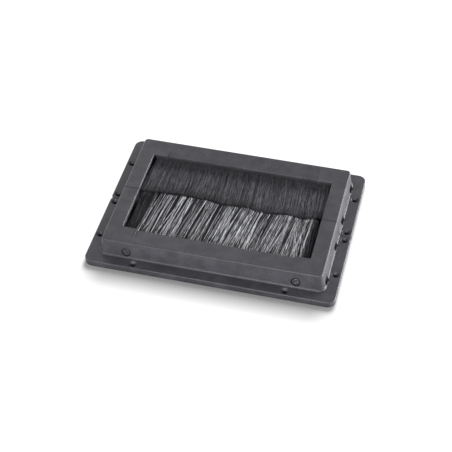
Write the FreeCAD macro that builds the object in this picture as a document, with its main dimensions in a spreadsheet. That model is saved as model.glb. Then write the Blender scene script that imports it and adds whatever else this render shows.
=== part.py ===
import FreeCAD, Part
import math
import os

import Sketcher

# Split brush grommet for cables that come up through a floor panel. Two like moulded halves meet at
# the seam, and each holds a strip brush under its top. Millimetres: X runs along the grommet, Z is
# up, and the flange stands on Z = 0. Every piece is drawn on the -Y side of the seam, and the rear
# ones are turned half a turn about Z.

SIZES = {
    # Moulded half: the window, and what surrounds it from the inside out
    "window_width": 124.7,
    "window_corner": 1.0,
    "window_edge": 0.8,
    "end_land": 17.5,
    "side_land": 24.8,
    "wall_flare": 3.4,
    "flange_ledge": 13.6,
    "flange_height": 7.2,
    "flange_plate": 3.0,
    "flange_corner": 9.0,
    "flange_edge": 0.6,
    "skirt": 2.5,
    "seam_gap": 0.5,
    "seam_corner": 3.5,
    "seam_web": 2.5,
    "total_height": 27.4,
    "housing_corner": 4.0,
    "hollow_corner": 2.5,
    "wall": 3.0,
    "bead_height": 2.2,
    "bead_out": 1.0,
    "top_edge": 1.3,
    "lip_depth": 5.0,
    "lip_thickness": 2.0,
    # Sloped panel on each long side
    "panel_length": 178.0,
    "panel_drop": 1.6,
    "panel_margin": 2.0,
    "panel_setback": 1.5,
    "panel_edge": 0.8,
    # Openings at the foot of the end walls
    "slot_length": 11.3,
    "slot_height": 6.2,
    "slot_out": 1.0,
    "slot_near": 21.0,
    "slot_setback": 12.2,
    # Screw holes of the flange, with the ribs and bosses under it
    "hole_inset": 6.6,
    "hole_near": 6.6,
    "hole_far": 61.3,
    "hole_side": 85.0,
    "hole_bore": 4.5,
    "countersink": 9.0,
    "boss_wall": 2.2,
    "rib": 1.8,
    "rib_recess": 0.8,
    "rib_pitch": 34.0,
    # Peg and socket at the seam
    "peg_diameter": 5.0,
    "peg_length": 4.5,
    "peg_height": 15.0,
    "peg_clearance": 0.2,
    # Bar that holds the brush, and its screws
    "bar_overhang": 1.5,
    "bar_height": 12.1,
    "bar_gap": 1.9,
    "bar_setback": 1.0,
    "bar_wall": 2.0,
    "core_length": 40.0,
    "core_depth": 6.5,
    "screw_inset": 10.0,
    "screw_height": 14.5,
    "screw_seat": 1.0,
    "screw_shank": 3.9,
    "screw_length": 10.0,
    "screw_head": 8.6,
    "head_height": 2.7,
    "cross_width": 1.5,
    "cross_reach": 2.4,
    "cross_depth": 1.4,
    "recess_diameter": 10.6,
    "recess_wall": 1.4,
    "screw_clearance": 0.25,
    # Strip brush
    "brush_length": 207.0,
    "brush_end_gap": 2.3,
    "brush_drop": 6.3,
    "channel_height": 5.2,
    "channel_depth": 6.5,
    "channel_sheet": 0.6,
    "channel_bend": 0.9,
    "wire_diameter": 1.8,
    "wire_wrap": 1.0,
    "fit_clearance": 0.1,
    "bristle_spread": 1.5,
    "tip_thickness": 5.0,
    "tip_gap": 0.8,
    "front_tip_sag": 1.7,
    "front_tip_reach": 5.0,
    "rear_tip_reach": -2.5,
    "tuft_pitch": 12.8,
    "tuft_mouth": 3.0,
    "tuft_root": 12.0,
}

# Places worked out from the sizes, for a half on the -Y side of the seam
SEAM = "dims.seam_gap / 2"
WINDOW_X = "(dims.brush_length / 2 + dims.brush_end_gap)"
WINDOW_Y = "dims.window_width / 2"
TOP_X = f"({WINDOW_X} + dims.end_land)"
TOP_Y = f"({WINDOW_Y} + dims.side_land)"
BASE_X = f"({TOP_X} + dims.wall_flare)"
BASE_Y = f"({TOP_Y} + dims.wall_flare)"
FLANGE_X = f"({BASE_X} + dims.flange_ledge)"
FLANGE_Y = f"({BASE_Y} + dims.flange_ledge)"
TOP = "dims.total_height"
LEDGE = "dims.flange_height"
HOLE_X = f"({FLANGE_X} - dims.hole_inset)"
HOLE_Y = f"({FLANGE_Y} - dims.hole_inset)"
PEG_X = f"({WINDOW_X} + dims.end_land / 2 - dims.wall / 2)"
PANEL_Y = f"({WINDOW_Y} + dims.panel_setback)"
BED = "(dims.total_height - dims.panel_drop - dims.wall)"
BAR_X = "(dims.brush_length / 2 + dims.bar_overhang)"
BAR_IN = f"({PANEL_Y} + dims.bar_setback)"
BAR_OUT = f"({TOP_Y} - dims.wall - dims.bar_gap)"
BAR_LOW = f"({BED} - dims.bar_height)"
SCREW_X = f"({BAR_X} - dims.screw_inset)"
SEAT = f"({TOP_Y} - dims.screw_seat)"
BRUSH = f"({BED} - dims.brush_drop)"
MOUTH = f"({BAR_IN} + 2 * dims.fit_clearance)"
CHANNEL_BACK = f"({MOUTH} + dims.channel_depth)"
CHANNEL_FLOOR = f"({CHANNEL_BACK} - dims.channel_sheet)"
PACK_HALF = "(dims.channel_height / 2 - dims.channel_sheet - dims.fit_clearance)"
FRONT_TIP = f"({BRUSH} - dims.front_tip_sag)"
REAR_TIP = f"({FRONT_TIP} + dims.tip_thickness + dims.tip_gap)"

HALF_TURN = 180
NEAR = 1e-4

doc = FreeCAD.newDocument("brush_grommet")
sheet = doc.addObject("Spreadsheet::Sheet", "dims")
for row, (alias, size) in enumerate(SIZES.items(), start=1):
    sheet.set(f"A{row}", alias)
    sheet.set(f"B{row}", str(size))
    sheet.setAlias(f"B{row}", alias)
doc.recompute()

pieces = []


def number(expression):
    """What an expression of the sheet comes to, in millimetres."""
    return float(sheet.evalExpression(expression))


def point(place):
    return FreeCAD.Vector(number(place[0]), number(place[1]), 0)


def origin(body, role):
    """An origin plane or axis of a body."""
    return next(item for item in body.Origin.OriginFeatures if item.Role == role)


def new_body(label, turn):
    """An empty body, turned about Z to its own half of the grommet."""
    body = doc.addObject("PartDesign::Body", label)
    body.Label = label
    body.Placement = FreeCAD.Placement(FreeCAD.Vector(), FreeCAD.Rotation(FreeCAD.Vector(0, 0, 1), turn))
    pieces.append(body)
    return body


def new_sketch(body, name, role, shift="0", aside="0", above="0"):
    """A sketch on an origin plane, shifted along the plane's normal and within the plane."""
    sketch = body.newObject("Sketcher::SketchObject", f"{body.Name}_{name}")
    sketch.AttachmentSupport = (origin(body, role), "")
    sketch.MapMode = "FlatFace"
    sketch.setExpression("AttachmentOffset.Base.x", aside)
    sketch.setExpression("AttachmentOffset.Base.y", above)
    sketch.setExpression("AttachmentOffset.Base.z", shift)
    return sketch


def bind(sketch, kind, item, end, expression):
    """A distance from the sketch's origin to a point, driven by an expression."""
    rule = Sketcher.Constraint(kind, -1, 1, item, end, number(expression))
    index = sketch.addConstraint(rule)
    sketch.setExpression(f"Constraints[{index}]", expression)


def pin(sketch, item, end, place):
    bind(sketch, "DistanceX", item, end, place[0])
    bind(sketch, "DistanceY", item, end, place[1])


def moved(corner, radius, direction, sign):
    """The point a radius away from a corner, along an edge that is parallel to an axis."""
    return tuple(f"{c} + {sign * round(d)} * {radius}" for c, d in zip(corner, direction))


def outline(sketch, corners):
    """A closed outline, counter-clockwise. A corner with a third value is rounded by that radius."""
    count = len(corners)
    at = [point(corner) for corner in corners]
    run = [(at[(i + 1) % count] - at[i]).normalize() for i in range(count)]
    starts = []
    ends = []
    for i, corner in enumerate(corners):
        rounded = len(corner) == 3
        ends.append(moved(corner[:2], corner[2], run[i - 1], -1) if rounded else corner)
        starts.append(moved(corner[:2], corner[2], run[i], 1) if rounded else corner)
    lines = [
        sketch.addGeometry(Part.LineSegment(point(starts[i]), point(ends[(i + 1) % count])), False)
        for i in range(count)
    ]
    for i, corner in enumerate(corners):
        pin(sketch, lines[i], 1, starts[i])
        if len(corner) == 2:
            sketch.addConstraint(Sketcher.Constraint("Coincident", lines[i - 1], 2, lines[i], 1))
        else:
            pin(sketch, lines[i - 1], 2, ends[i])
            round_corner(sketch, lines[i - 1], lines[i], run[i - 1], run[i], corner[2], point(ends[i]))


def round_corner(sketch, line_in, line_out, run_in, run_out, radius, start):
    """The arc between two lines that stop a radius short of their corner."""
    left = run_in.x * run_out.y - run_in.y * run_out.x > 0
    side = 1 if left else -1
    reach = number(radius)
    inward = FreeCAD.Vector(-run_in.y, run_in.x, 0) * side
    circle = Part.Circle(start + inward * reach, FreeCAD.Vector(0, 0, 1), reach)
    angle = math.atan2(-inward.y, -inward.x)
    quarter = math.pi / 2
    span = (angle, angle + quarter) if left else (angle - quarter, angle)
    arc = sketch.addGeometry(Part.ArcOfCircle(circle, *span), False)
    first, last = (1, 2) if left else (2, 1)
    sketch.addConstraint(Sketcher.Constraint("Coincident", line_in, 2, arc, first))
    sketch.addConstraint(Sketcher.Constraint("Coincident", arc, last, line_out, 1))
    index = sketch.addConstraint(Sketcher.Constraint("Radius", arc, reach))
    sketch.setExpression(f"Constraints[{index}]", radius)


def circle(sketch, place, diameter):
    reach = number(diameter) / 2
    item = sketch.addGeometry(Part.Circle(point(place), FreeCAD.Vector(0, 0, 1), reach), False)
    pin(sketch, item, 3, place)
    index = sketch.addConstraint(Sketcher.Constraint("Diameter", item, 2 * reach))
    sketch.setExpression(f"Constraints[{index}]", diameter)


def rectangle(sketch, x_low, x_high, y_low, y_high):
    outline(sketch, [(x_low, y_low), (x_high, y_low), (x_high, y_high), (x_low, y_high)])


def extrude(body, kind, name, sketch, length, flip=False, both_ways=False):
    """A pad or a pocket of a sketch. A pocket has to take something away."""
    before = body.Shape.Volume if body.Tip else 0
    feature = body.newObject(f"PartDesign::{kind}", f"{body.Name}_{name}")
    feature.Profile = sketch
    feature.Reversed = flip
    feature.SideType = "Symmetric" if both_ways else "One side"
    feature.setExpression("Length", length)
    doc.recompute()
    if kind == "Pocket" and feature.Shape.Volume > before - NEAR:
        raise RuntimeError(f"{body.Label}: {name} cuts nothing")
    return feature


def soften(body, kind, name, size, chosen):
    """A fillet or chamfer on the edges of the body that a test picks."""
    base = body.Tip
    names = [f"Edge{i}" for i, edge in enumerate(base.Shape.Edges, start=1) if chosen(edge)]
    if not names:
        raise RuntimeError(f"{body.Label}: {name} finds no edge")
    feature = body.newObject(f"PartDesign::{kind}", f"{body.Name}_{name}")
    feature.Base = (base, names)
    feature.setExpression("Radius" if kind == "Fillet" else "Size", size)
    doc.recompute()
    return feature


def repeat(body, name, feature, length, times):
    """Copies of a feature in a row along X."""
    pattern = body.newObject("PartDesign::LinearPattern", f"{body.Name}_{name}")
    pattern.Originals = [feature]
    pattern.Direction = (origin(body, "X_Axis"), [""])
    pattern.setExpression("Length", length)
    pattern.setExpression("Occurrences", times)
    body.Tip = pattern
    doc.recompute()
    return pattern


def level(edge, height):
    """Whether an edge lies at one height."""
    return abs(edge.BoundBox.ZMin - height) < NEAR and abs(edge.BoundBox.ZMax - height) < NEAR


def on_seam(edge):
    return edge.BoundBox.YMin > -number(SEAM) - NEAR


def outermost(edge, reach_x, reach_y):
    """Whether an edge touches the rectangle that reaches this far from the middle."""
    box = edge.BoundBox
    gaps = (box.XMax - reach_x, box.XMin + reach_x, box.YMin + reach_y)
    return min(abs(gap) for gap in gaps) < NEAR


def half_frame(sketch, reach_x, reach_y, seam, corner):
    """Half of a rounded rectangle, open corners on the seam."""
    outline(sketch, [
        (f"-{reach_x}", seam), (f"-{reach_x}", f"-{reach_y}", corner),
        (reach_x, f"-{reach_y}", corner), (reach_x, seam),
    ])


def square(sketch, place, side):
    """A square about a place."""
    x, y = place
    half = f"({side}) / 2"
    rectangle(sketch, f"{x} - {half}", f"{x} + {half}", f"{y} - {half}", f"{y} + {half}")


def mirrored_boxes(sketch, x_low, x_high, y_low, y_high):
    """A rectangle at each end of the half."""
    rectangle(sketch, x_low, x_high, y_low, y_high)
    rectangle(sketch, f"-{x_high}", f"-{x_low}", y_low, y_high)


def add_walls(body):
    """The housing's outer walls, leaning in from the flange to the rounded top."""
    foot = new_sketch(body, "wall_outline", "XY_Plane", LEDGE)
    half_frame(foot, BASE_X, BASE_Y, f"-{SEAM}", "(dims.housing_corner + dims.wall_flare)")
    walls = extrude(body, "Pad", "walls", foot, f"{TOP} - {LEDGE}")
    hinge = body.newObject("PartDesign::Plane", f"{body.Name}_ledge")
    hinge.AttachmentSupport = (origin(body, "XY_Plane"), "")
    hinge.MapMode = "FlatFace"
    hinge.setExpression("AttachmentOffset.Base.z", LEDGE)
    leaning = [
        f"Face{i}" for i, face in enumerate(walls.Shape.Faces, start=1)
        if face.BoundBox.ZLength > NEAR and not on_seam(face)
    ]
    draft = body.newObject("PartDesign::Draft", f"{body.Name}_draft")
    draft.Base = (walls, leaning)
    draft.NeutralPlane = (hinge, [""])
    draft.setExpression("Angle", f"atan(dims.wall_flare / ({TOP} - {LEDGE}))")
    doc.recompute()
    soften(body, "Fillet", "top_rim", "dims.top_edge",
           lambda edge: level(edge, number(TOP)) and not on_seam(edge))


def add_flange(body):
    foot = new_sketch(body, "flange_outline", "XY_Plane")
    outline(foot, [
        (f"-{FLANGE_X}", f"-{SEAM}", "dims.seam_corner"),
        (f"-{FLANGE_X}", f"-{FLANGE_Y}", "dims.flange_corner"),
        (FLANGE_X, f"-{FLANGE_Y}", "dims.flange_corner"),
        (FLANGE_X, f"-{SEAM}", "dims.seam_corner"),
    ])
    extrude(body, "Pad", "flange", foot, LEDGE)
    soften(body, "Chamfer", "flange_rim", "dims.flange_edge",
           lambda edge: level(edge, number(LEDGE)) and outermost(edge, number(FLANGE_X), number(FLANGE_Y)))


def add_bead(body):
    """The bead round the foot of the walls."""
    bead = new_sketch(body, "bead_outline", "XY_Plane", LEDGE)
    reach_x = f"({BASE_X} + dims.bead_out)"
    reach_y = f"({BASE_Y} + dims.bead_out)"
    half_frame(bead, reach_x, reach_y, f"-{SEAM}", "(dims.housing_corner + dims.wall_flare + dims.bead_out)")
    extrude(body, "Pad", "bead", bead, "dims.bead_height")
    bead_top = number(f"{LEDGE} + dims.bead_height")
    soften(body, "Chamfer", "bead_rim", "dims.bead_out",
           lambda edge: level(edge, bead_top) and outermost(edge, number(reach_x), number(reach_y)))


def hollow_section(body, name, height, side_x, side_y):
    """A level section of the hollow: a wall inside the sides, past the seam, its corners cut across."""
    section = new_sketch(body, name, "XY_Plane", height)
    x = f"({side_x} - dims.wall)"
    y = f"({side_y} - dims.wall)"
    cut = "dims.hollow_corner"
    outline(section, [
        (f"-{x}", "dims.seam_gap"), (f"-{x}", f"-{y} + {cut}"), (f"-{x} + {cut}", f"-{y}"),
        (f"{x} - {cut}", f"-{y}"), (x, f"-{y} + {cut}"), (x, "dims.seam_gap"),
    ])
    return section


def cut_inside(body):
    """The hollow under the top, open below and towards the other half, and the window."""
    foot = hollow_section(body, "hollow_foot", "0", BASE_X, BASE_Y)
    extrude(body, "Pocket", "hollow_below", foot, LEDGE, flip=True)
    low = hollow_section(body, "hollow_low", LEDGE, BASE_X, BASE_Y)
    high = hollow_section(body, "hollow_high", f"{TOP} - dims.wall", TOP_X, TOP_Y)
    hollow = body.newObject("PartDesign::SubtractiveLoft", f"{body.Name}_hollow")
    hollow.Profile = low
    hollow.Sections = [high]
    hollow.Ruled = True
    doc.recompute()
    window = new_sketch(body, "window_outline", "XY_Plane", TOP)
    half_frame(window, WINDOW_X, WINDOW_Y, "dims.seam_gap", "dims.window_corner")
    extrude(body, "Pocket", "window", window, "2 * dims.wall")
    inside = FreeCAD.BoundBox(-number(WINDOW_X), -number(WINDOW_Y), 0, number(WINDOW_X), 0, number(TOP))
    inside.enlarge(NEAR)
    soften(body, "Chamfer", "window_rim", "dims.window_edge",
           lambda edge: level(edge, number(TOP)) and inside.isInside(edge.BoundBox) and not on_seam(edge))


def add_panel(body):
    """A lip under the window's short sides, and the sloped panel, set back, with a flat bed beneath it."""
    lip = new_sketch(body, "lip_outline", "XY_Plane", f"{TOP} - dims.lip_depth")
    mirrored_boxes(lip, WINDOW_X, f"({WINDOW_X} + dims.lip_thickness)", f"-{WINDOW_Y}", f"-{SEAM}")
    extrude(body, "Pad", "lip", lip, "dims.lip_depth - dims.wall / 2")
    bed = new_sketch(body, "bed_section", "YZ_Plane")
    rectangle(bed, f"-{BAR_OUT}", f"-{WINDOW_Y}", BED, f"{TOP} - dims.wall / 2")
    extrude(body, "Pad", "bed", bed, "dims.panel_length + 2 * dims.wall", both_ways=True)
    slope = new_sketch(body, "slope_section", "YZ_Plane")
    start = f"-({TOP_Y} - dims.panel_margin)"
    past = f"-{WINDOW_Y} + dims.wall"
    outline(slope, [
        (start, TOP), (f"-{PANEL_Y}", f"{TOP} - dims.panel_drop"), (f"-{PANEL_Y}", f"{BED} - dims.wall"),
        (past, f"{BED} - dims.wall"), (past, f"{TOP} + dims.wall"), (start, f"{TOP} + dims.wall"),
    ])
    extrude(body, "Pocket", "slope", slope, "dims.panel_length", both_ways=True)
    edge_height = number(f"{TOP} - dims.panel_drop")
    edge_y = -number(PANEL_Y)
    soften(body, "Fillet", "panel_nose", "dims.panel_edge",
           lambda edge: level(edge, edge_height) and abs(edge.BoundBox.YMax - edge_y) < NEAR)


def cut_slots(body):
    """Openings at the foot of the end walls, taken down through the flange plate beside them."""
    slots = new_sketch(body, "slot_outline", "XY_Plane", f"{LEDGE} + dims.slot_height")
    outside = f"({BASE_X} + dims.bead_out + dims.slot_out)"
    for centre in ("dims.slot_near", f"({TOP_Y} - dims.slot_setback)"):
        mirrored_boxes(slots, f"({TOP_X} - 2 * dims.wall)", outside,
                       f"-{centre} - dims.slot_length / 2", f"-{centre} + dims.slot_length / 2")
    extrude(body, "Pocket", "slots", slots, "dims.slot_height + dims.flange_plate")


def flange_holes():
    """The screw holes of one half: four on its ends and two on its long side."""
    places = []
    for side in ("", "-"):
        places.append((f"{side}{HOLE_X}", "-dims.hole_near"))
        places.append((f"{side}{HOLE_X}", "-dims.hole_far"))
        places.append((f"{side}dims.hole_side", f"-{HOLE_Y}"))
    return places


def finish_flange(body):
    """The flange's hollow underside with its bosses and ribs, and the countersunk holes."""
    hollow = new_sketch(body, "flange_hollow", "XY_Plane")
    outer_x = f"({FLANGE_X} - dims.skirt)"
    outer_y = f"({FLANGE_Y} - dims.skirt)"
    end = f"-({SEAM} + dims.skirt)"
    outline(hollow, [
        (f"-{outer_x}", end), (f"-{outer_x}", f"-{outer_y}", "(dims.flange_corner - dims.skirt)"),
        (outer_x, f"-{outer_y}", "(dims.flange_corner - dims.skirt)"), (outer_x, end),
        (BASE_X, end), (BASE_X, f"-{BASE_Y}"), (f"-{BASE_X}", f"-{BASE_Y}"), (f"-{BASE_X}", end),
    ])
    extrude(body, "Pocket", "flange_hollow_cut", hollow, f"{LEDGE} - dims.flange_plate", flip=True)
    bosses = new_sketch(body, "boss_outline", "XY_Plane")
    for place in flange_holes():
        square(bosses, place, "dims.hole_bore + 2 * dims.boss_wall")
    extrude(body, "Pad", "bosses", bosses, f"{LEDGE} - dims.flange_plate / 2")
    ribs = new_sketch(body, "rib_outline", "XY_Plane", "dims.rib_recess")
    rectangle(ribs, "-2 * dims.rib_pitch - dims.rib / 2", "-2 * dims.rib_pitch + dims.rib / 2",
              f"-{FLANGE_Y} + dims.skirt / 2", f"-{BASE_Y} + dims.wall / 2")
    rib = extrude(body, "Pad", "rib", ribs, f"{LEDGE} - dims.rib_recess - dims.flange_plate / 2")
    repeat(body, "ribs", rib, "4 * dims.rib_pitch", "5")
    drill = new_sketch(body, "hole_places", "XY_Plane", LEDGE)
    for place in flange_holes():
        circle(drill, place, "dims.hole_bore")
    doc.recompute()
    hole = body.newObject("PartDesign::Hole", f"{body.Name}_holes")
    hole.Profile = drill
    hole.DepthType = "ThroughAll"
    hole.HoleCutType = "Countersink"
    hole.setExpression("Diameter", "dims.hole_bore")
    hole.setExpression("HoleCutDiameter", "dims.countersink")
    hole.HoleCutCountersinkAngle = 90
    doc.recompute()


def add_seam(body):
    """Webs that close the half's two ends at the seam, with a peg on one and a socket in the other."""
    web = new_sketch(body, "web_outline", "XZ_Plane", SEAM)
    foot = f"({BASE_X} - dims.wall / 2)"
    head = f"({TOP_X} - dims.wall / 2)"
    roof = f"{TOP} - dims.wall / 2"
    outline(web, [(WINDOW_X, "0"), (foot, "0"), (foot, LEDGE), (head, roof), (WINDOW_X, roof)])
    outline(web, [
        (f"-{WINDOW_X}", roof), (f"-{head}", roof), (f"-{foot}", LEDGE), (f"-{foot}", "0"),
        (f"-{WINDOW_X}", "0"),
    ])
    extrude(body, "Pad", "webs", web, "dims.seam_web")
    peg = new_sketch(body, "peg_outline", "XZ_Plane", SEAM)
    circle(peg, (f"-{PEG_X}", "dims.peg_height"), "dims.peg_diameter")
    extrude(body, "Pad", "peg", peg, "dims.peg_length", flip=True)
    socket = new_sketch(body, "socket_outline", "XZ_Plane", SEAM)
    circle(socket, (PEG_X, "dims.peg_height"), "dims.peg_diameter + 2 * dims.peg_clearance")
    extrude(body, "Pocket", "socket", socket, "dims.seam_web + dims.peg_length", flip=True)


def screw_places():
    return [(f"{side}{SCREW_X}", "dims.screw_height") for side in ("", "-")]


def add_screw_bosses(body):
    """Square posts behind the long wall, sunk from outside for the screw heads."""
    posts = new_sketch(body, "post_outline", "XZ_Plane", BAR_OUT)
    for place in screw_places():
        square(posts, place, "dims.recess_diameter + 2 * dims.recess_wall")
    extrude(body, "Pad", "posts", posts, f"{TOP_Y} + dims.wall_flare / 5 - {BAR_OUT}")
    sink = new_sketch(body, "recess_outline", "XZ_Plane", SEAT)
    for place in screw_places():
        circle(sink, place, "dims.recess_diameter")
    extrude(body, "Pocket", "recesses", sink, "2 * dims.wall_flare + dims.bead_out", flip=True)
    through = new_sketch(body, "clearance_outline", "XZ_Plane", SEAT)
    for place in screw_places():
        circle(through, place, "dims.screw_shank + 2 * dims.screw_clearance")
    extrude(body, "Pocket", "clearances", through, f"{SEAT} - {BAR_OUT} + dims.wall")


def make_frame(label, turn):
    body = new_body(label, turn)
    add_walls(body)
    add_flange(body)
    add_bead(body)
    cut_inside(body)
    add_panel(body)
    cut_slots(body)
    finish_flange(body)
    add_seam(body)
    add_screw_bosses(body)


def make_bar(label, turn):
    """Moulded bar with a groove for the channel, cored from below, and drilled for its screws."""
    body = new_body(label, turn)
    section = new_sketch(body, "section", "YZ_Plane")
    groove = "(dims.channel_height / 2 + dims.fit_clearance)"
    outline(section, [
        (f"-{BAR_OUT}", BAR_LOW), (f"-{BAR_IN}", BAR_LOW), (f"-{BAR_IN}", f"{BRUSH} - {groove}"),
        (f"-{CHANNEL_BACK}", f"{BRUSH} - {groove}"), (f"-{CHANNEL_BACK}", f"{BRUSH} + {groove}"),
        (f"-{BAR_IN}", f"{BRUSH} + {groove}"), (f"-{BAR_IN}", BED), (f"-{BAR_OUT}", BED),
    ])
    extrude(body, "Pad", "bar", section, f"2 * {BAR_X}", both_ways=True)
    core = new_sketch(body, "core_outline", "XY_Plane", BAR_LOW)
    pitch = "(dims.core_length + dims.bar_wall)"
    count = f"floor((2 * {SCREW_X} - dims.screw_head) / {pitch})"
    row = f"({count} - 1) * {pitch}"
    rectangle(core, f"-{row} / 2 - dims.core_length / 2", f"-{row} / 2 + dims.core_length / 2",
              f"-{BAR_OUT} + dims.bar_wall", f"-{CHANNEL_BACK} - dims.bar_wall")
    pocket = extrude(body, "Pocket", "core", core, "dims.core_depth", flip=True)
    repeat(body, "cores", pocket, row, count)
    pilot = new_sketch(body, "pilot_outline", "XZ_Plane", BAR_OUT)
    for place in screw_places():
        circle(pilot, place, "dims.screw_shank + dims.fit_clearance")
    extrude(body, "Pocket", "pilots", pilot,
            f"dims.screw_length - {SEAT} + {BAR_OUT} + dims.screw_clearance")


def make_channel(label, turn):
    """Sheet folded to a U that grips the root of the bristles."""
    body = new_body(label, turn)
    section = new_sketch(body, "section", "YZ_Plane")
    low = f"({BRUSH} - dims.channel_height / 2)"
    high = f"({BRUSH} + dims.channel_height / 2)"
    inner = "(dims.channel_bend - dims.channel_sheet)"
    outline(section, [
        (f"-{CHANNEL_BACK}", low, "dims.channel_bend"), (f"-{MOUTH}", low),
        (f"-{MOUTH}", f"{low} + dims.channel_sheet"),
        (f"-{CHANNEL_FLOOR}", f"{low} + dims.channel_sheet", inner),
        (f"-{CHANNEL_FLOOR}", f"{high} - dims.channel_sheet", inner),
        (f"-{MOUTH}", f"{high} - dims.channel_sheet"), (f"-{MOUTH}", high),
        (f"-{CHANNEL_BACK}", high, "dims.channel_bend"),
    ])
    extrude(body, "Pad", "channel", section, "dims.brush_length", both_ways=True)


def wire_place():
    return f"-{CHANNEL_FLOOR} + dims.wire_wrap + dims.wire_diameter / 2", BRUSH


def make_wire(label, turn):
    body = new_body(label, turn)
    section = new_sketch(body, "section", "YZ_Plane")
    circle(section, wire_place(), "dims.wire_diameter")
    extrude(body, "Pad", "wire", section, "dims.brush_length", both_ways=True)


def bristle_side(sketch, reach, tip):
    """Side view of the bristles: straight in the channel, then two arcs that spread to the tip."""
    back = f"-{CHANNEL_FLOOR} + dims.channel_bend"
    low = f"{BRUSH} - {PACK_HALF}"
    high = f"{BRUSH} + {PACK_HALF}"
    tip_low = (reach, f"{tip} - dims.tip_thickness / 2")
    tip_high = (reach, f"{tip} + dims.tip_thickness / 2")
    corners = [(back, high), (back, low), (f"-{MOUTH}", low), tip_low, tip_high, (f"-{MOUTH}", high)]
    straight = [(1, 2), (3, 4), (5, 0), (0, 1)]
    items = {}
    for first, last in straight:
        line = Part.LineSegment(point(corners[first]), point(corners[last]))
        items[first] = sketch.addGeometry(line, False)
        pin(sketch, items[first], 1, corners[first])
    pin(sketch, items[1], 2, corners[2])
    pin(sketch, items[3], 2, corners[4])
    sketch.addConstraint(Sketcher.Constraint("Coincident", items[5], 2, items[0], 1))
    sketch.addConstraint(Sketcher.Constraint("Coincident", items[0], 2, items[1], 1))
    sweep(sketch, items[1], 2, items[3], 1, point(corners[2]), point(corners[3]))
    sweep(sketch, items[5], 1, items[3], 2, point(corners[5]), point(corners[4]))


def sweep(sketch, root_line, root_end, tip_line, tip_end, root, tip):
    """An arc that leaves the root level and ends at the tip."""
    run = tip - root
    radius = (run.x ** 2 + run.y ** 2) / (2 * abs(run.y))
    rising = run.y > 0
    centre = root + FreeCAD.Vector(0, radius if rising else -radius, 0)
    turn = math.asin(run.x / radius)
    quarter = math.pi / 2
    span = (-quarter, -quarter + turn) if rising else (quarter - turn, quarter)
    arc = sketch.addGeometry(
        Part.ArcOfCircle(Part.Circle(centre, FreeCAD.Vector(0, 0, 1), radius), *span), False)
    first, last = (1, 2) if rising else (2, 1)
    sketch.addConstraint(Sketcher.Constraint("Tangent", root_line, root_end, arc, first))
    sketch.addConstraint(Sketcher.Constraint("Coincident", arc, last, tip_line, tip_end))


def make_bristles(label, turn, reach, tip):
    """The bristles as one pack: it fans out to its tip, slit into tufts, and holds the core wire."""
    body = new_body(label, turn)
    side = new_sketch(body, "side", "YZ_Plane")
    bristle_side(side, reach, tip)
    extrude(body, "Pad", "pack", side, "dims.brush_length + 2 * dims.bristle_spread", both_ways=True)
    ends = new_sketch(body, "end_trim", "XY_Plane", BRUSH)
    root_x = "dims.brush_length / 2"
    tip_x = f"({root_x} + dims.bristle_spread)"
    far_x = f"({tip_x} + dims.wall)"
    back = f"-{CHANNEL_BACK}"
    outline(ends, [(root_x, back), (far_x, back), (far_x, reach), (tip_x, reach), (root_x, f"-{MOUTH}")])
    outline(ends, [
        (f"-{far_x}", back), (f"-{root_x}", back), (f"-{root_x}", f"-{MOUTH}"), (f"-{tip_x}", reach),
        (f"-{far_x}", reach),
    ])
    extrude(body, "Pocket", "ends", ends, "4 * dims.tip_thickness", both_ways=True)
    slit = new_sketch(body, "slit_outline", "XY_Plane", BRUSH)
    count = "floor(dims.brush_length / dims.tuft_pitch)"
    centre = f"-({count} - 1) * dims.tuft_pitch / 2"
    past = f"{reach} + dims.tuft_mouth"
    outline(slit, [
        (centre, f"-{MOUTH} + dims.tuft_root"), (f"{centre} + dims.tuft_mouth / 2", past),
        (f"{centre} - dims.tuft_mouth / 2", past),
    ])
    cut = extrude(body, "Pocket", "slit", slit, "4 * dims.tip_thickness", both_ways=True)
    repeat(body, "tufts", cut, f"({count} - 1) * dims.tuft_pitch", count)
    bore = new_sketch(body, "wire_bore", "YZ_Plane")
    circle(bore, wire_place(), "dims.wire_diameter + dims.fit_clearance")
    extrude(body, "Pocket", "wire_way", bore, "2 * dims.brush_length", both_ways=True)


def make_screws(label, turn):
    """The two screws of one long wall, each with a flat head and a cross recess."""
    body = new_body(label, turn)
    body.AllowCompound = True
    half = new_sketch(body, "half", "XY_Plane", "dims.screw_height", f"-{SCREW_X}")
    head_r = "dims.screw_head / 2"
    shank_r = "dims.screw_shank / 2"
    top = f"-{SEAT} - dims.head_height"
    tip = f"-{SEAT} + dims.screw_length"
    outline(half, [
        ("0", top), (head_r, top), (head_r, f"-{SEAT}"), (shank_r, f"-{SEAT}"), (shank_r, tip), ("0", tip),
    ])
    turned = body.newObject("PartDesign::Revolution", f"{body.Name}_turned")
    turned.Profile = half
    turned.ReferenceAxis = (half, ["V_Axis"])
    turned.Angle = 360
    doc.recompute()
    cross = new_sketch(body, "cross", "XZ_Plane", f"{SEAT} + dims.head_height",
                       f"-{SCREW_X}", "dims.screw_height")
    arm = "dims.cross_reach"
    side = "dims.cross_width / 2"
    outline(cross, [
        (f"-{side}", f"-{arm}"), (side, f"-{arm}"), (side, f"-{side}"), (arm, f"-{side}"), (arm, side),
        (side, side), (side, arm), (f"-{side}", arm), (f"-{side}", side), (f"-{arm}", side),
        (f"-{arm}", f"-{side}"), (f"-{side}", f"-{side}"),
    ])
    recess = extrude(body, "Pocket", "cross_recess", cross, "dims.cross_depth")
    pair = body.newObject("PartDesign::LinearPattern", f"{body.Name}_pair")
    pair.Originals = [turned, recess]
    pair.Direction = (origin(body, "X_Axis"), [""])
    pair.setExpression("Length", f"2 * {SCREW_X}")
    pair.Occurrences = 2
    body.Tip = pair
    doc.recompute()


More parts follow.
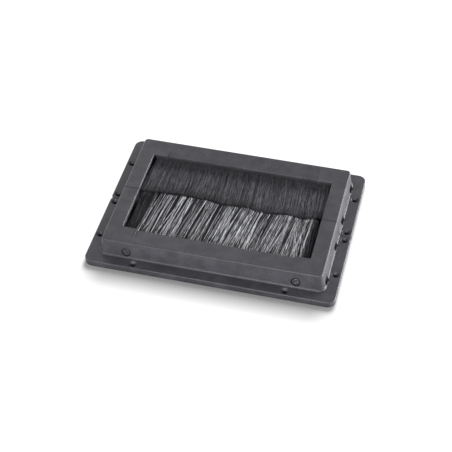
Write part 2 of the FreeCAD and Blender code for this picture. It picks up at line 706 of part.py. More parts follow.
def check_all():
    """Stops before anything is written if a feature failed or a piece is not a sound solid."""
    for item in doc.Objects:
        if "Invalid" in item.State or "Error" in item.State:
            raise RuntimeError(f"{item.Label} failed: {item.State}")
    for piece in pieces:
        shape = piece.Shape
        if shape.isNull() or not shape.isValid() or not shape.Solids:
            raise RuntimeError(f"{piece.Label} is not a sound solid")


for side, turn, reach, tip in (
    ("front", 0, "dims.front_tip_reach", FRONT_TIP),
    ("rear", HALF_TURN, "dims.rear_tip_reach", REAR_TIP),
):
    make_frame(f"{side}_frame", turn)
    make_bar(f"{side}_retainer_bar", turn)
    make_channel(f"{side}_brush_channel", turn)
    make_wire(f"{side}_core_wire", turn)
    make_bristles(f"{side}_bristles", turn, reach, tip)
    make_screws(f"{side}_screws", turn)

check_all()
os.makedirs("parts", exist_ok=True)
for piece in pieces:
    piece.Shape.exportStep(f"parts/{piece.Label}.step")
    box = piece.Shape.BoundBox
    print(f"{piece.Label}: {len(piece.Shape.Solids)} solids, {piece.Shape.Volume / 1000:.1f} cm3, "
          f"{box.XLength:.1f} x {box.YLength:.1f} x {box.ZLength:.1f} mm")
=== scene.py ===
import math
from types import SimpleNamespace

import bpy
import numpy as np
from mathutils import Matrix, Vector


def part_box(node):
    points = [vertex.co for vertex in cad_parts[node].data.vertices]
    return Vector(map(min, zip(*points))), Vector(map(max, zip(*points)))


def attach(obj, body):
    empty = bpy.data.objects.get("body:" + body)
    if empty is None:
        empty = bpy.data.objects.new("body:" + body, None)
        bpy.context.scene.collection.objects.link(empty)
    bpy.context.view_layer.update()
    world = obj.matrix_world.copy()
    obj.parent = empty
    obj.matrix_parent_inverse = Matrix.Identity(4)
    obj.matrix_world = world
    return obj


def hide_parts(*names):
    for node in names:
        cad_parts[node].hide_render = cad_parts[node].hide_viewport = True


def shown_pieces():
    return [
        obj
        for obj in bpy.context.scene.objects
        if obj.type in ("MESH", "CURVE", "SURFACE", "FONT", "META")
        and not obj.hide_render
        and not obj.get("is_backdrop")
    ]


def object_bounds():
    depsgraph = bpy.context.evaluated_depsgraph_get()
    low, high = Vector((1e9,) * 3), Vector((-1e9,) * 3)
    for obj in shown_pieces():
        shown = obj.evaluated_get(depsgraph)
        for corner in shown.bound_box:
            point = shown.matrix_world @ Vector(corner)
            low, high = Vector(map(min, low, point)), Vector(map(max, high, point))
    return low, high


# Looks of a split brush grommet: charcoal moulded halves, steel fittings and two rows of bristles.
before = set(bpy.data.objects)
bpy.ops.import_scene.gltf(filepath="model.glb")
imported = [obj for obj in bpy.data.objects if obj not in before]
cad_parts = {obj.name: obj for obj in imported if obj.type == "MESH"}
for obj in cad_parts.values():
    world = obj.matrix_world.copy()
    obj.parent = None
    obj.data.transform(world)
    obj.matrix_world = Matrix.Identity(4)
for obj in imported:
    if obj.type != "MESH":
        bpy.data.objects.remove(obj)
cad_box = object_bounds()

MM = 0.001
WHITE = (1.0, 1.0, 1.0, 1.0)

# Camera, fitted to the straight edges of the part: degrees and metres, lens and sensor in millimetres
AZIMUTH = 14.0225
ELEVATION = 44.245
ROLL = -0.2502
DISTANCE = 1.48839
SHIFT_RIGHT = 0.003821
SHIFT_UP = 0.005448
LENS = 103.905
SENSOR = 36.0
CLIP_START = 0.05

# Studio: the world's own light; the floor's greys, with painted shade beneath the part and in front of it;
# and the white added where the floor is seen, which fades out near the part as painted shade and glows
# faintly under the flange as painted light
WORLD_LIGHT = 0.32
FLOOR_HALF = 3.0
FLOOR_DROP = 0.2 * MM
FLOOR_ROUGHNESS = 0.9
FLOOR_PAINTED_SHADE_BENEATH = 0.06
FLOOR_PAINTED_CONTACT_SHADE = 0.5
FLOOR_OPEN = 0.85
PAINTED_CONTACT_FADE = 30 * MM
PAINTED_CONTACT_REACH = 115 * MM
PAINTED_CONTACT_WEIGHTS = (1.0, 1.0)
WALLS = (126 * MM, 90 * MM)
WALL_FADE = 2 * MM
PAINTED_HOLE_GLOW = 0.12
FLOOR_LIFT = 0.46
FLOOR_LIFT_SHADE_FADE = 70 * MM
FLOOR_WEIGHTS = (6.0, 1.0)

# All materials: the range that holds most of a noise, its detail, and the samples of a rounded edge
NOISE_RANGE = (0.3, 0.7)
NOISE_DETAIL = 3.0
EDGE_SAMPLES = 4

# Moulded plastic: clouds and grain in its tone, edges lightened by wear and painted highlight, and painted
# shade in its corners and at the seam
PLASTIC_CLOUD = 14 * MM
PLASTIC_GRAIN = 1.2 * MM
PLASTIC_GRAIN_DETAIL = 5.0
PLASTIC_TONES = (0.42, 0.58)
PLASTIC_WEAR_AND_HIGHLIGHT = 0.3
PLASTIC_GLOSS = 0.38
PLASTIC_ROUGHNESS_SPREAD = 0.07
PLASTIC_BUMP = 0.25
PLASTIC_BUMP_HEIGHT = 0.08 * MM
PAINTED_CORNER_SHADE = (0.016, 0.016, 0.018)
PAINTED_SHADE_REACH = 6 * MM
PAINTED_SHADE_SAMPLES = 6
PAINTED_SHADE_RANGE = (0.15, 0.65)
SEAM_SHADE_FULL = 0.3 * MM
SEAM_SHADE_ENDS = (0.7 * MM, 1.3 * MM)

# Drawn steel: fine lines along X and a cloudy plating
STEEL_LINES = 0.4 * MM
STEEL_STRETCH = (0.02, 1.0, 1.0)
STEEL_CLOUD = 6 * MM
STEEL_TONES = (0.35, 0.65)
STEEL_ROUGHNESS_SPREAD = 0.1
STEEL_BUMP = 0.2
STEEL_BUMP_HEIGHT = 0.05 * MM

# Blackened steel: a cloudy oxide that wears off the edges
OXIDE_CLOUD = 1.2 * MM
OXIDE_TONES = (0.35, 0.65)
OXIDE_EDGE = 0.25 * MM
OXIDE_WEAR = 0.25
OXIDE_ROUGHNESS = (0.3, 0.5)
OXIDE_METALLIC = 0.6

# Filaments: a drift of the tone along each strand, partly random tone and partly painted glints, where 0 is
# the dark colour and 1 the light one
DRIFT = 5 * MM
DRIFT_DETAIL = 2.0
DRIFT_STRETCH = (6.0, 0.4, 3.0)
DRIFT_SHADES_AND_GLINTS = (0.2, 1.6)
FILAMENT_TONES = (0.0, 1.0)
FILAMENT_ROUGHNESS_SPREAD = 0.06

# Strands of each brush: their number, section and taper. Places along a strand are shares of its length
STRANDS = 6000
SIDES = 3
RINGS = 6
ALONG = np.linspace(0.0, 1.0, RINGS)
STRAND_RADIUS = 0.24 * MM
TAPER_START = 0.8
TIP_TAPER = 0.55
LARGEST_TURN = 6.3  # radians, about a full turn of the section

# Course of the strands: layers run from -1 at the bottom of the brush to 1 on top of it
SEED = 11
FRONT_TUFTS = 1000
REAR_TUFTS = 2000
TUFT_SPREAD = 0.1 * MM
TIP_SPREAD = 1.5 * TUFT_SPREAD
LAYER_SPREAD = 0.08
GRIP = 2.5 * MM
ROOT_RISE = 1.6 * MM
RISE_POWER = 1.7
TUFT_SHORT = 0.7 * MM
STRAND_SHORT = 0.3 * MM
TUFT_BOW = 0.7 * MM
STRAND_BOW = 0.1 * MM
SWING = 4.0 * MM
TIP_OVERHANG = 0.4 * MM
RUN_UNDER = 6.5 * MM
FRONT_TIP_ABOVE = 2.4 * MM
REAR_TIP_BELOW = 2.6 * MM
FRONT_TIP_RISE = 2.1 * MM
REAR_TIP_RISE = 2.4 * MM

# How the tips of the rear bristles wander over the front ones, as (x, y) in millimetres
REAR_TIPS = ((-105, 3), (-82, 5.5), (-60, 7.6), (-25, 6.4), (-9, 2.7), (14, 4.8), (44, 1.0), (66, 4.3),
             (85, 2.2), (105, 7.9))

# How far the tips lean towards +X, as (x, lean) in millimetres
FRONT_LEAN = ((-105, -1.5), (-99, -0.5), (-86, 7.5), (0, 11), (62, 10.5), (94, -4), (105, -6))
REAR_LEAN = ((-105, 0), (-60, 1), (0, 4), (90, 4), (105, 0))

# Shares of the tuft's tone that a strand and its root keep, where the darker root is painted shade, and
# where along it the root's painted shade ends
STRAND_SHADES = (0.6, 1.0)
FRONT_ROOT_SHADED_SHARE = 1.0
REAR_ROOT_SHADED_SHARE = 0.05
ROOT_PAINTED_SHADE_REACH = 0.35

# Front tufts: light tones stand for painted glints on black nylon; the golden ratio spreads the bright
# ones, more of them to the right, and painted shade darkens the ends
GOLDEN = 0.618034
RANK_JITTER = 0.1
BRIGHT_PLACES = (-90 * MM, 0.0, 90 * MM)
BRIGHT_SHARES = (0.14, 0.21, 0.28)
BRIGHT_LAYERS = (0.6, 1.0)
BRIGHT_SWING = 1.1
FULL_GLINT_SHARE = 0.45
FULL_GLINT_TONES = (0.8, 1.0)
MIDDLE_TONES = (0.1, 0.4)
DARK_TONES = (0.0, 0.04)
DARK_LAYERS = (-1.0, 0.8)
DARK_SWING = 1.2
END_PAINTED_SHADE = 0.04
LEFT_END = (-99 * MM, -91 * MM)
RIGHT_END = (91 * MM, 98 * MM)

# Rear tufts: dark ones, some greyer ones and a few pale strays
GREY_SHARE = 0.12
GREY_TONES = (0.24, 0.34)
GREY_LAYERS = (0.5, 1.0)
REAR_TONES = (0.16, 0.26)
REAR_LAYERS = (-1.0, 0.7)
STRAY_SHARE = 0.003
STRAY_TONE = 0.5


def node(tree, kind, inputs=None, **attributes):
    """A shader node. An input given as a socket is linked, any other is set."""
    item = tree.nodes.new(kind)
    for name, value in attributes.items():
        setattr(item, name, value)
    for name, value in (inputs or {}).items():
        if isinstance(value, bpy.types.NodeSocket):
            tree.links.new(value, item.inputs[name])
        else:
            item.inputs[name].default_value = value
    return item


def calculate(tree, operation, *values, clamp=False):
    """The result of a math node."""
    item = node(tree, "ShaderNodeMath", dict(enumerate(values)), operation=operation, use_clamp=clamp)
    return item.outputs["Value"]


def combine(tree, operation, *vectors, output="Vector"):
    """The result of a vector math node."""
    item = node(tree, "ShaderNodeVectorMath", dict(enumerate(vectors)), operation=operation)
    return item.outputs[output]


def remap(tree, value, low, high, new_low=0.0, new_high=1.0):
    """A value whose range from low to high is mapped to a new range and ends there."""
    item = node(tree, "ShaderNodeMapRange", {
        "Value": value, "From Min": low, "From Max": high, "To Min": new_low, "To Max": new_high,
    })
    return item.outputs["Result"]


def spread(tree, noise, low, high):
    """A noise whose middle range is mapped to low and high."""
    return remap(tree, noise, *NOISE_RANGE, low, high)


def object_place(tree):
    return node(tree, "ShaderNodeTexCoord").outputs["Object"]


def object_noise(tree, size, detail=NOISE_DETAIL, stretch=(1.0, 1.0, 1.0)):
    """Noise whose grain has a size in metres, stretched along the axes."""
    scaled = node(tree, "ShaderNodeMapping", {"Vector": object_place(tree), "Scale": stretch})
    noise = node(tree, "ShaderNodeTexNoise", {
        "Vector": scaled.outputs["Vector"], "Scale": 1.0 / size, "Detail": detail,
    })
    return noise.outputs["Fac"]


def mean(tree, first, second):
    total = calculate(tree, "ADD", first, second)
    return calculate(tree, "MULTIPLY", total, 0.5)


def two_tones(tree, factor, places, dark, light):
    """A colour that runs from dark to light between two places of the factor."""
    item = node(tree, "ShaderNodeValToRGB", {"Fac": factor})
    for element, place, colour in zip(item.color_ramp.elements, places, (dark, light)):
        element.position = place
        element.color = (*colour, 1.0)
    return item.outputs["Color"]


def blend_colour(tree, factor, first, second):
    item = node(tree, "ShaderNodeMixRGB", {"Fac": factor, "Color1": first, "Color2": second})
    return item.outputs["Color"]


def rounded_edges(tree, radius):
    """The normal of a surface whose edges look rounded."""
    return node(tree, "ShaderNodeBevel", {"Radius": radius}, samples=EDGE_SAMPLES).outputs["Normal"]


def edge_mask(tree, rounded, reach):
    """How far the rounded normal turns from the face, which picks out the edges."""
    flat = node(tree, "ShaderNodeNewGeometry").outputs["Normal"]
    facing = combine(tree, "DOT_PRODUCT", rounded, flat, output="Value")
    return remap(tree, facing, 1.0 - reach, 1.0, 1.0, 0.0)


def outside(tree, centre_y, reach, weights):
    """How far a place lies outside a rectangle centred on the Y axis, in metres, with weighted axes."""
    moved = combine(tree, "SUBTRACT", object_place(tree), (0.0, centre_y, 0.0))
    apart = combine(tree, "ABSOLUTE", moved)
    over = combine(tree, "SUBTRACT", apart, (*reach, 0.0))
    past = combine(tree, "MAXIMUM", over, (0.0, 0.0, 0.0))
    scaled = combine(tree, "MULTIPLY", past, (*weights, 0.0))
    return combine(tree, "LENGTH", scaled, output="Value")


def new_material(name):
    """A material with its node tree and its shader."""
    material = bpy.data.materials.new(name)
    material.use_nodes = True
    tree = material.node_tree
    return material, tree, tree.nodes["Principled BSDF"]


def unshaded_by_seam(tree, cloud):
    """1 away from the seam at y = 0, less where painted shade darkens the edges that meet there."""
    across = node(tree, "ShaderNodeSeparateXYZ", {"Vector": object_place(tree)}).outputs["Y"]
    apart = calculate(tree, "ABSOLUTE", across)
    ragged = spread(tree, cloud, *SEAM_SHADE_ENDS)
    return remap(tree, apart, SEAM_SHADE_FULL, ragged)


def free_of_painted_shade(tree, cloud):
    """1 on open faces, less where shade is painted in the corners and at the seam."""
    corners = node(tree, "ShaderNodeAmbientOcclusion", {"Distance": PAINTED_SHADE_REACH}, samples=PAINTED_SHADE_SAMPLES)
    open_faces = remap(tree, corners.outputs["AO"], *PAINTED_SHADE_RANGE)
    return calculate(tree, "MULTIPLY", open_faces, unshaded_by_seam(tree, cloud))


def moulded_plastic(name, dark, light, edge_colour, roughness, edge):
    """Grained plastic: cloudy tone, fine pebbled bump, edges lightened by slight wear and painted
    highlight, and painted shade in the gaps.
    """
    material, tree, shader = new_material(name)
    cloud = object_noise(tree, PLASTIC_CLOUD)
    grain = object_noise(tree, PLASTIC_GRAIN, PLASTIC_GRAIN_DETAIL)
    body = two_tones(tree, mean(tree, cloud, grain), PLASTIC_TONES, dark, light)
    rounded = rounded_edges(tree, edge)
    # Edges lightened partly as wear and partly as painted highlight
    patchy = calculate(tree, "MULTIPLY", edge_mask(tree, rounded, PLASTIC_WEAR_AND_HIGHLIGHT), cloud)
    edges_lightened = blend_colour(tree, patchy, body, (*edge_colour, 1.0))
    # Painted shade: the colour goes dark in corners and along the seam
    colour = blend_colour(tree, free_of_painted_shade(tree, cloud), (*PAINTED_CORNER_SHADE, 1.0), edges_lightened)
    smooth, rough = roughness - PLASTIC_ROUGHNESS_SPREAD, roughness + PLASTIC_ROUGHNESS_SPREAD
    bump = node(tree, "ShaderNodeBump", {
        "Height": grain, "Strength": PLASTIC_BUMP, "Distance": PLASTIC_BUMP_HEIGHT, "Normal": rounded,
    })
    tree.links.new(colour, shader.inputs["Base Color"])
    tree.links.new(spread(tree, grain, smooth, rough), shader.inputs["Roughness"])
    tree.links.new(bump.outputs["Normal"], shader.inputs["Normal"])
    shader.inputs["Specular IOR Level"].default_value = PLASTIC_GLOSS
    return material


def drawn_steel(name, dark, light, roughness):
    """Metal drawn along X, with fine lines and a cloudy plating."""
    material, tree, shader = new_material(name)
    lines = object_noise(tree, STEEL_LINES, stretch=STEEL_STRETCH)
    cloud = object_noise(tree, STEEL_CLOUD)
    colour = two_tones(tree, mean(tree, cloud, lines), STEEL_TONES, dark, light)
    smooth, rough = roughness - STEEL_ROUGHNESS_SPREAD, roughness + STEEL_ROUGHNESS_SPREAD
    bump = node(tree, "ShaderNodeBump", {
        "Height": lines, "Strength": STEEL_BUMP, "Distance": STEEL_BUMP_HEIGHT,
    })
    tree.links.new(colour, shader.inputs["Base Color"])
    tree.links.new(spread(tree, lines, smooth, rough), shader.inputs["Roughness"])
    tree.links.new(bump.outputs["Normal"], shader.inputs["Normal"])
    shader.inputs["Metallic"].default_value = 1.0
    return material


def blackened_steel(name, dark, light, edge_colour):
    """Black oxide over steel, bright on the edges of the head where the oxide wears off."""
    material, tree, shader = new_material(name)
    cloud = object_noise(tree, OXIDE_CLOUD)
    body = two_tones(tree, cloud, OXIDE_TONES, dark, light)
    rounded = rounded_edges(tree, OXIDE_EDGE)
    colour = blend_colour(tree, edge_mask(tree, rounded, OXIDE_WEAR), body, (*edge_colour, 1.0))
    tree.links.new(colour, shader.inputs["Base Color"])
    tree.links.new(spread(tree, cloud, *OXIDE_ROUGHNESS), shader.inputs["Roughness"])
    tree.links.new(rounded, shader.inputs["Normal"])
    shader.inputs["Metallic"].default_value = OXIDE_METALLIC
    return material


def filament(name, dark, light, roughness, gloss):
    """Nylon filament: each strand has its own tone, which carries painted glints and painted shade, with a
    fine change along its length that is partly painted glints.
    """
    material, tree, shader = new_material(name)
    tone = node(tree, "ShaderNodeAttribute", attribute_name="tone").outputs["Fac"]
    drift = object_noise(tree, DRIFT, DRIFT_DETAIL, DRIFT_STRETCH)
    # Painted glints: the tone brightens and darkens in short stretches along the strands
    shade = spread(tree, drift, *DRIFT_SHADES_AND_GLINTS)
    shaded = calculate(tree, "MULTIPLY", tone, shade, clamp=True)
    smooth, rough = roughness - FILAMENT_ROUGHNESS_SPREAD, roughness + FILAMENT_ROUGHNESS_SPREAD
    tree.links.new(two_tones(tree, shaded, FILAMENT_TONES, dark, light), shader.inputs["Base Color"])
    tree.links.new(spread(tree, drift, smooth, rough), shader.inputs["Roughness"])
    shader.inputs["Specular IOR Level"].default_value = gloss
    return material


def smooth_step(value, low, high):
    """0 up to low, 1 from high on, and a smooth rise between."""
    part = np.clip((value - low) / (high - low), 0.0, 1.0)
    return part * part * (3 - 2 * part)


def along(x, table):
    """The value of a table of (x, value) in millimetres at each x."""
    places, values = np.array(table).T * MM
    return np.interp(x, places, values)


def draw(rng, picked, there, elsewhere):
    """A random value for each tuft, from one range where it is picked and another elsewhere."""
    picked_value = rng.uniform(*there, len(picked))
    other_value = rng.uniform(*elsewhere, len(picked))
    return np.where(picked, picked_value, other_value)


def front_look(rng, x):
    """Tone, layer, swing and gloss of each tuft: bright ones with painted glints lie on dark ones, and both
    ends are darkened as painted shade.
    """
    count = len(x)
    rank = (GOLDEN * np.arange(count) + rng.uniform(0.0, RANK_JITTER, count)) % 1.0
    bright = rank < np.interp(x, BRIGHT_PLACES, BRIGHT_SHARES)
    full_glint = rng.random(count) < FULL_GLINT_SHARE
    # Painted glints: the bright tufts get light tones
    bright_tone = draw(rng, full_glint, FULL_GLINT_TONES, MIDDLE_TONES)
    tone = np.where(bright, bright_tone, rng.uniform(*DARK_TONES, count))
    layer = draw(rng, bright, BRIGHT_LAYERS, DARK_LAYERS)
    swing = np.where(bright, BRIGHT_SWING, DARK_SWING) * rng.normal(0.0, SWING, count)
    # Painted shade: the tufts near both ends go dark
    inner = smooth_step(x, *LEFT_END) * (1 - smooth_step(x, *RIGHT_END))
    return tone * inner + END_PAINTED_SHADE * (1 - inner), layer, swing, bright & (inner > 0.5)


def rear_look(rng, x):
    """Tone, layer, swing and gloss of each tuft: dark ones, some greyer ones and a few pale strays."""
    count = len(x)
    rank = rng.random(count)
    grey = rank < GREY_SHARE
    tone = draw(rng, grey, GREY_TONES, REAR_TONES)
    tone = np.where(rank < STRAY_SHARE, STRAY_TONE, tone)
    layer = draw(rng, grey, GREY_LAYERS, REAR_LAYERS)
    return tone, layer, rng.normal(0.0, SWING, count), grey


def front_tip(x, tip):
    """The front strands run on under the rear tips."""
    return np.full_like(x, tip + RUN_UNDER)


def rear_tip(x, tip):
    """The wandering tip line, which doesn't follow the tip of the CAD pack."""
    return along(x, REAR_TIPS)


def brush_ends(half):
    """Where the strands of one brush start and end, from the boxes of its nodes."""
    low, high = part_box(f"{half}_bristles")
    channel_low, channel_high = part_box(f"{half}_brush_channel")
    front = half == "front"
    return SimpleNamespace(
        inward=1.0 if front else -1.0,
        mouth=channel_high.y if front else channel_low.y,
        root_z=(channel_low.z + channel_high.z) / 2,
        root_reach=channel_high.x,
        tip_y=high.y if front else low.y,
        tip_z=low.z + FRONT_TIP_ABOVE if front else high.z - REAR_TIP_BELOW,
        tip_reach=high.x,
    )


def bent_paths(root, tip, bow):
    """Points along each strand, which climbs late and bows sideways: strands x rings x 3."""
    run = tip - root
    path = root[:, None, :] + run[:, None, :] * ALONG[:, None]
    path[:, :, 2] = root[:, 2:] + run[:, 2:] * ALONG ** RISE_POWER
    path[:, :, 0] += bow[:, None] * np.sin(math.pi * ALONG)
    return path


def tubes(path, turn):
    """Points, quads and end triangles of closed tubes that taper to their tips."""
    radius = STRAND_RADIUS * (1.0 - TIP_TAPER * smooth_step(ALONG, TAPER_START, 1.0))
    angle = turn[:, None, None] + np.arange(SIDES) * 2 * math.pi / SIDES
    across = radius[:, None] * np.cos(angle)
    above = radius[:, None] * np.sin(angle)
    ring = np.stack([across, np.zeros_like(across), above], axis=-1)
    points = (path[:, :, None, :] + ring).reshape(-1, 3)
    own = np.arange(len(path))[:, None, None] * RINGS * SIDES
    step = np.arange(RINGS - 1)[None, :, None] * SIDES
    side = np.arange(SIDES)[None, None, :]
    following = (side + 1) % SIDES
    low = own + step
    quads = np.stack([low + side, low + following, low + SIDES + following, low + SIDES + side], axis=-1)
    root = own[:, 0, :] + side[0]
    tip = root + (RINGS - 1) * SIDES
    return points, quads.reshape(-1, 4), np.concatenate([root, tip[:, ::-1]])


def mesh_piece(name, points, quads, triangles, tone):
    """A mesh object from plain arrays, with the tone of each point."""
    mesh = bpy.data.meshes.new(name)
    mesh.from_pydata(points.tolist(), [], quads.tolist() + triangles.tolist())
    attribute = mesh.attributes.new("tone", "FLOAT", "POINT")
    attribute.data.foreach_set("value", tone.astype(np.float32))
    mesh.shade_smooth()
    piece = bpy.data.objects.new(name, mesh)
    bpy.context.scene.collection.objects.link(piece)
    return piece


def brush(half, seed, tufts, lean, look, tip_line, tip_rise, root_shaded_share, materials):
    """The strands of one brush. They start in the channel and have a dull and a glossy material."""
    rng = np.random.default_rng(seed)
    ends = brush_ends(half)
    place = ends.root_reach * (2 * (np.arange(tufts) + rng.random(tufts)) / tufts - 1)
    tuft_tone, tuft_layer, tuft_swing, tuft_gloss = look(rng, place)
    tuft_tip = place + along(place, lean) + tuft_swing
    tuft_short = rng.exponential(TUFT_SHORT, tufts)
    tuft_bow = rng.normal(0.0, TUFT_BOW, tufts)

    # Each strand takes the course of its tuft, with a little of its own
    tuft = np.repeat(np.arange(tufts), STRANDS // tufts)
    count = len(tuft)
    root_x = place[tuft] + rng.normal(0.0, TUFT_SPREAD, count)
    root_x = np.clip(root_x, -ends.root_reach, ends.root_reach)
    layer = np.clip(tuft_layer[tuft] + rng.normal(0.0, LAYER_SPREAD, count), -1.0, 1.0)
    root_y = np.full(count, ends.mouth - ends.inward * GRIP)
    root = np.stack([root_x, root_y, ends.root_z + ROOT_RISE * layer], axis=-1)
    tip_x = tuft_tip[tuft] + rng.normal(0.0, TIP_SPREAD, count)
    tip_x = np.clip(tip_x, -ends.tip_reach, ends.tip_reach)
    short = tuft_short[tuft] + rng.exponential(STRAND_SHORT, count) - TIP_OVERHANG * layer
    tip_y = tip_line(tip_x, ends.tip_y) - ends.inward * short
    tip = np.stack([tip_x, tip_y, ends.tip_z + tip_rise * layer], axis=-1)
    bow = tuft_bow[tuft] + rng.normal(0.0, STRAND_BOW, count)
    points, quads, triangles = tubes(bent_paths(root, tip, bow), rng.uniform(0, LARGEST_TURN, count))

    # Tone of each point, with painted shade towards the roots, and material of each face
    tone = tuft_tone[tuft] * rng.uniform(*STRAND_SHADES, count)
    fade = root_shaded_share + (1.0 - root_shaded_share) * smooth_step(ALONG, 0.0, ROOT_PAINTED_SHADE_REACH)
    ring_tone = (tone[:, None] * fade).ravel()
    glossy = tuft_gloss[tuft].astype(np.int32)
    face_material = np.concatenate([np.repeat(glossy, (RINGS - 1) * SIDES), glossy, glossy])
    piece = mesh_piece(f"{half}_bristle_strands", points, quads, triangles, np.repeat(ring_tone, SIDES))
    for material in materials:
        piece.data.materials.append(material)
    piece.data.polygons.foreach_set("material_index", face_material)
    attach(piece, "root")
    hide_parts(f"{half}_bristles")


def dress(node_name, material):
    """Gives a carried-over node its material."""
    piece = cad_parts[node_name]
    piece.data.materials.clear()
    piece.data.materials.append(material)


def add_camera():
    """The photo's camera, turned and shifted as it was fitted."""
    azimuth, elevation, roll = (math.radians(angle) for angle in (AZIMUTH, ELEVATION, ROLL))
    back = Vector((math.sin(azimuth) * math.cos(elevation), -math.cos(azimuth) * math.cos(elevation),
                   math.sin(elevation)))
    level = Vector((math.cos(azimuth), math.sin(azimuth), 0.0))
    rise = back.cross(level)
    right = math.cos(roll) * level + math.sin(roll) * rise
    up = math.cos(roll) * rise - math.sin(roll) * level
    data = bpy.data.cameras.new("camera")
    data.lens = LENS
    data.sensor_width = SENSOR
    data.clip_start = CLIP_START
    camera = bpy.data.objects.new("camera", data)
    camera.matrix_world = Matrix((right, up, back)).transposed().to_4x4()
    camera.location = back * DISTANCE - right * SHIFT_RIGHT - up * SHIFT_UP
    bpy.context.scene.collection.objects.link(camera)
    bpy.context.scene.camera = camera


def seen_directly(tree):
    """1 for rays from the camera, mirrors and glass, else 0."""
    path = node(tree, "ShaderNodeLightPath").outputs
    shown = calculate(tree, "MAXIMUM", path["Is Camera Ray"], path["Is Glossy Ray"])
    return calculate(tree, "MAXIMUM", shown, path["Is Transmission Ray"])


def pale_floor():
    """A floor that is white away from the part and keeps its shadow, with painted shade beneath the part,
    around it and in front of it, and a faint painted glow under the flange.
    """
    material, tree, shader = new_material("pale_floor")
    beyond_walls = outside(tree, 0.0, WALLS, FLOOR_WEIGHTS)
    beyond_flange = outside(tree, 0.0, cad_box[1].xy, FLOOR_WEIGHTS)
    from_front_edge = outside(tree, cad_box[0].y, (PAINTED_CONTACT_REACH, 0.0), PAINTED_CONTACT_WEIGHTS)
    # Painted contact shade: the floor's grey darkens towards the front edge of the part
    around = remap(tree, from_front_edge, 0.0, PAINTED_CONTACT_FADE, FLOOR_PAINTED_CONTACT_SHADE, FLOOR_OPEN)
    # Painted shade: the floor is near-black beneath the walls
    grey = remap(tree, beyond_walls, 0.0, WALL_FADE, FLOOR_PAINTED_SHADE_BENEATH, around)
    # Painted glow: a faint white under the flange, seen through its holes
    faint = remap(tree, beyond_walls, 0.0, WALL_FADE, 0.0, PAINTED_HOLE_GLOW)
    # Painted shade: the added white fades out towards the part
    added = remap(tree, beyond_flange, 0.0, FLOOR_LIFT_SHADE_FADE, faint, FLOOR_LIFT)
    lift = calculate(tree, "MULTIPLY", seen_directly(tree), added)
    tree.links.new(grey, shader.inputs["Base Color"])
    tree.links.new(lift, shader.inputs["Emission Strength"])
    shader.inputs["Emission Color"].default_value = WHITE
    shader.inputs["Roughness"].default_value = FLOOR_ROUGHNESS
    shader.inputs["Specular IOR Level"].default_value = 0.0
    return material


def add_floor():
    """A flat floor just under the part."""
    mesh = bpy.data.meshes.new("floor")
    corners = [(-FLOOR_HALF, -FLOOR_HALF), (FLOOR_HALF, -FLOOR_HALF),
               (FLOOR_HALF, FLOOR_HALF), (-FLOOR_HALF, FLOOR_HALF)]
    mesh.from_pydata([(x, y, -FLOOR_DROP) for x, y in corners], [], [(0, 1, 2, 3)])
    mesh.materials.append(pale_floor())
    floor = bpy.data.objects.new("floor", mesh)
    bpy.context.scene.collection.objects.link(floor)
    floor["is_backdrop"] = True
    return floor


def add_world():
    """A world that is white where it is seen and lights the part more softly."""
    world = bpy.data.worlds.new("studio")
    world.use_nodes = True
    bpy.context.scene.world = world
    tree = world.node_tree
    background = tree.nodes["Background"]
    background.inputs["Color"].default_value = WHITE
    strength = remap(tree, seen_directly(tree), 0.0, 1.0, WORLD_LIGHT, 1.0)
    tree.links.new(strength, background.inputs["Strength"])


def lit_group(name, pieces):
    """A collection for lamps that light only these pieces."""
    group = bpy.data.collections.new(name)
    for piece in pieces:
        group.objects.link(piece)
    return group


def add_lamp(name, lights, place, target, size, watts):
    """A soft rectangular lamp that points at a place and lights only one collection."""
    data = bpy.data.lights.new(name, "AREA")
    data.shape = "RECTANGLE"
    data.size, data.size_y = size
    data.energy = watts
    lamp = bpy.data.objects.new(name, data)
    lamp.location = place
    lamp.rotation_euler = (Vector(target) - Vector(place)).to_track_quat("-Z", "Y").to_euler()
    lamp.light_linking.receiver_collection = lights
    bpy.context.scene.collection.objects.link(lamp)


# Materials
plastic = moulded_plastic(
    "charcoal_plastic", dark=(0.034, 0.034, 0.04), light=(0.056, 0.056, 0.065),
    edge_colour=(0.12, 0.12, 0.13), roughness=0.42, edge=0.35 * MM,
)
bar_plastic = moulded_plastic(
    "black_plastic", dark=(0.018, 0.018, 0.019), light=(0.03, 0.03, 0.031),
    edge_colour=(0.07, 0.07, 0.07), roughness=0.5, edge=0.4 * MM,
)
# Painted shade: the brush channel is made near-black to stand for the shade under the panel edge
channel_black_as_shade = moulded_plastic(
    "channel_shade_black", dark=(0.02, 0.02, 0.021), light=(0.034, 0.034, 0.036),
    edge_colour=(0.08, 0.08, 0.08), roughness=0.45, edge=0.2 * MM,
)
wire_steel = drawn_steel(
    "drawn_wire", dark=(0.48, 0.48, 0.49), light=(0.62, 0.62, 0.63), roughness=0.3,
)
screw_steel = blackened_steel(
    "black_steel", dark=(0.06, 0.06, 0.064), light=(0.13, 0.13, 0.136), edge_colour=(0.3, 0.3, 0.31),
)
dull_nylon = filament(
    "dull_filament", dark=(0.02, 0.02, 0.024), light=(0.92, 0.92, 0.98), roughness=0.6, gloss=0.15,
)
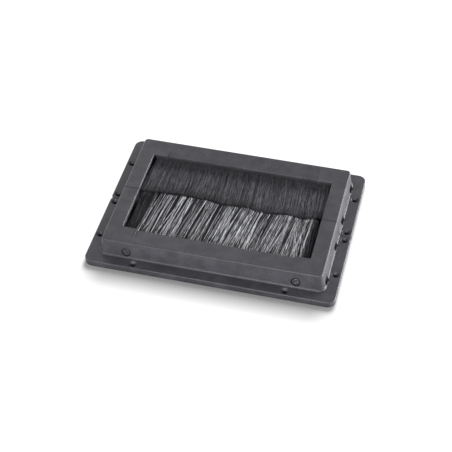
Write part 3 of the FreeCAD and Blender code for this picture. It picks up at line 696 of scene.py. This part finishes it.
# This glossy filament carries the front tufts whose light tones are painted glints
glint_nylon = filament(
    "glint_filament", dark=(0.014, 0.014, 0.017), light=(0.92, 0.92, 0.98), roughness=0.3, gloss=0.6,
)
dark_nylon = filament(
    "dark_filament", dark=(0.02, 0.02, 0.024), light=(0.5, 0.5, 0.55), roughness=0.6, gloss=0.1,
)
grey_nylon = filament(
    "grey_filament", dark=(0.02, 0.02, 0.024), light=(0.5, 0.5, 0.55), roughness=0.5, gloss=0.18,
)

# Pieces
for side in ("front", "rear"):
    dress(f"{side}_frame", plastic)
    dress(f"{side}_retainer_bar", bar_plastic)
    dress(f"{side}_brush_channel", channel_black_as_shade)
    dress(f"{side}_core_wire", wire_steel)
    dress(f"{side}_screws", screw_steel)
    dress(f"{side}_bristles", dark_nylon)

brush("front", SEED, FRONT_TUFTS, FRONT_LEAN, front_look, front_tip, FRONT_TIP_RISE, FRONT_ROOT_SHADED_SHARE,
      materials=(dull_nylon, glint_nylon))
brush("rear", SEED + 1, REAR_TUFTS, REAR_LEAN, rear_look, rear_tip, REAR_TIP_RISE, REAR_ROOT_SHADED_SHARE,
      materials=(dark_nylon, grey_nylon))

# Studio
add_camera()
ground = lit_group("ground", [add_floor()])
add_world()
part = lit_group("dressed_part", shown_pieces())
add_lamp("floor_lamp", ground, place=(0.03, 2.0, 1.7), target=(0, 0, 0), size=(1.3, 1.3), watts=90.0)
add_lamp("side_lamp", part, place=(1.5, 0.45, 0.04), target=(0.126, 0, 0.017), size=(0.9, 0.05), watts=60.0)
add_lamp("left_rim_lamp", part, place=(-1.12, 1.24, 0.6), target=(0, 0, 0.02), size=(0.9, 0.6), watts=6.0)
add_lamp("right_rim_lamp", part, place=(0.9, 1.24, 0.81), target=(0, 0, 0.02), size=(0.9, 0.6), watts=9.0)
add_lamp("edge_lamp", part, place=(1.05, 1.3, 0.24), target=(0, 0, 0.025), size=(0.35, 0.2), watts=7.0)
add_lamp("front_fill", part, place=(0.15, -1.7, 0.8), target=(0, 0, 0), size=(1.0, 0.8), watts=38.0)

scene = bpy.context.scene
scene.view_settings.view_transform = "Standard"
